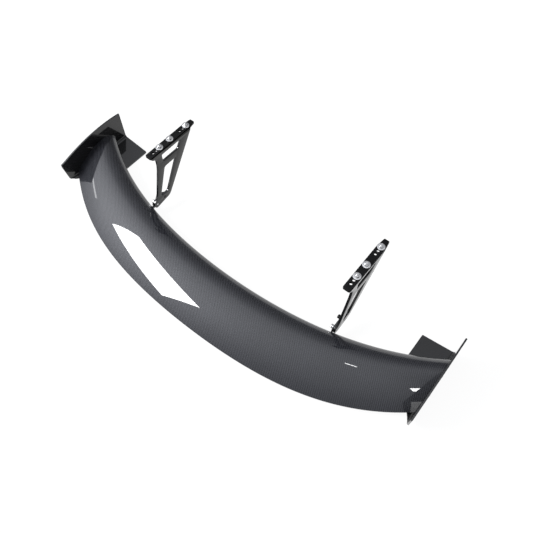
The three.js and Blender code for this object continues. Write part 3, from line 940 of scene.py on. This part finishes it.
# Each light: its place, the point that it faces, its width and height, and its power in watts.
LIGHTS = {
    "softbox": ((-1.587, 1.740, 1.941), (-0.087, 0.19, -0.009), 1.27, 0.90, 130),
    "side_strip": ((-0.88, 3.17, 1.40), (-0.05, 0.60, 0.08), 0.70, 0.12, 1.6),
    "back_panel": ((-0.99, -1.93, 2.63), (0.0, -0.665, 0.09), 0.32, 0.25, 8),
    "top_lamp": ((-0.57, -0.52, 3.06), (-0.10, -0.485, 0.10), 0.16, 0.05, 0.8),
}

# The camera turns about a target: azimuth, elevation and roll in degrees, lens and sensor in millimetres.
CAMERA = {"azimuth": -50.53, "elevation": 59.54, "roll": -0.8145, "distance": 1.7393}
CAMERA_TARGET = Vector((0.0550, -0.0864, 0.05))
LENS = 37.153
SENSOR_WIDTH = 36


def build_floor():
    """A pale floor that glows a little, so that it stays even and white."""
    half = FLOOR["half"]
    corners = [(-half, -half, 0), (half, -half, 0), (half, half, 0), (-half, half, 0)]
    mesh = bpy.data.meshes.new("floor")
    mesh.from_pydata(corners, [], [(0, 1, 2, 3)])
    floor = bpy.data.objects.new("floor", mesh)
    bpy.context.scene.collection.objects.link(floor)
    floor.location.z = FLOOR["height"]
    material = node_material("studio_floor")[0]
    shader = material.node_tree.nodes["Principled BSDF"]
    shader.inputs["Base Color"].default_value = (*[FLOOR["colour"]] * 3, 1)
    shader.inputs["Roughness"].default_value = 0.9
    shader.inputs["Specular IOR Level"].default_value = 0.1
    shader.inputs["Emission Color"].default_value = (1, 1, 1, 1)
    shader.inputs["Emission Strength"].default_value = FLOOR["emission"]
    mesh.materials.append(material)


def add_light(name, place, target, width, height, power):
    """A rectangular area light that shows in reflections but not to the camera."""
    data = bpy.data.lights.new(name, "AREA")
    data.shape = "RECTANGLE"
    data.size, data.size_y = width, height
    data.energy = power
    light = bpy.data.objects.new(name, data)
    bpy.context.scene.collection.objects.link(light)
    light.location = place
    light.rotation_euler = (Vector(target) - Vector(place)).to_track_quat("-Z", "Y").to_euler()
    light.visible_camera = False


def nearness(nodes, links, place, direction, sharpness):
    """1 in a direction of the sky, falling to 0 away from it."""
    toward = nodes.new("ShaderNodeVectorMath")
    toward.operation = "DOT_PRODUCT"
    links.new(place, toward.inputs[0])
    toward.inputs[1].default_value = direction
    near = math_node(nodes, links, "MAXIMUM", toward.outputs["Value"], 0.0)
    return math_node(nodes, links, "POWER", near, sharpness)


def build_world():
    """A soft studio sky, by height, with a glow round the softbox and a darker side to the right."""
    world = bpy.data.worlds.new("studio")
    bpy.context.scene.world = world
    world.use_nodes = True
    nodes, links = world.node_tree.nodes, world.node_tree.links
    place = nodes.new("ShaderNodeTexCoord").outputs["Generated"]
    axes = nodes.new("ShaderNodeSeparateXYZ")
    links.new(place, axes.inputs[0])
    sky = ramp_node(nodes, links, axes.outputs[2], [(height, (level,) * 3) for height, level in SKY_LEVELS])
    behind = math_node(nodes, links, "MULTIPLY_ADD", axes.outputs[0], AHEAD_DIMMING, 1.0)
    level = math_node(nodes, links, "MULTIPLY", sky, behind)
    glow = nearness(nodes, links, place, GLOW["direction"], GLOW["sharpness"])
    lit = math_node(nodes, links, "MULTIPLY_ADD", glow, GLOW["amount"], level)
    dark = nearness(nodes, links, place, SHADE["direction"], SHADE["sharpness"])
    shade = math_node(nodes, links, "MULTIPLY_ADD", dark, SHADE["amount"], 1.0)
    strength = math_node(nodes, links, "MULTIPLY", lit, shade)
    background = nodes["Background"]
    background.inputs["Color"].default_value = (*SKY_COLOUR, 1)
    links.new(math_node(nodes, links, "MULTIPLY", strength, SKY_STRENGTH), background.inputs["Strength"])


def build_camera():
    """Puts the camera at a turn, a height and a distance from its target, and rolls it."""
    data = bpy.data.cameras.new("camera")
    data.lens = LENS
    data.sensor_width = SENSOR_WIDTH
    camera = bpy.data.objects.new("camera", data)
    bpy.context.scene.collection.objects.link(camera)
    a, e = math.radians(CAMERA["azimuth"]), math.radians(CAMERA["elevation"])
    back = Vector((math.sin(a) * math.cos(e), -math.cos(a) * math.cos(e), math.sin(e)))
    camera.location = CAMERA_TARGET + back * CAMERA["distance"]
    look = (-back).to_track_quat("-Z", "Y").to_matrix().to_4x4()
    camera.rotation_euler = (look @ Matrix.Rotation(math.radians(CAMERA["roll"]), 4, "Z")).to_euler()
    bpy.context.scene.camera = camera


build_floor()
build_world()
for name, light in LIGHTS.items():
    add_light(name, *light)
build_camera()
bpy.context.scene.view_settings.view_transform = "Standard"
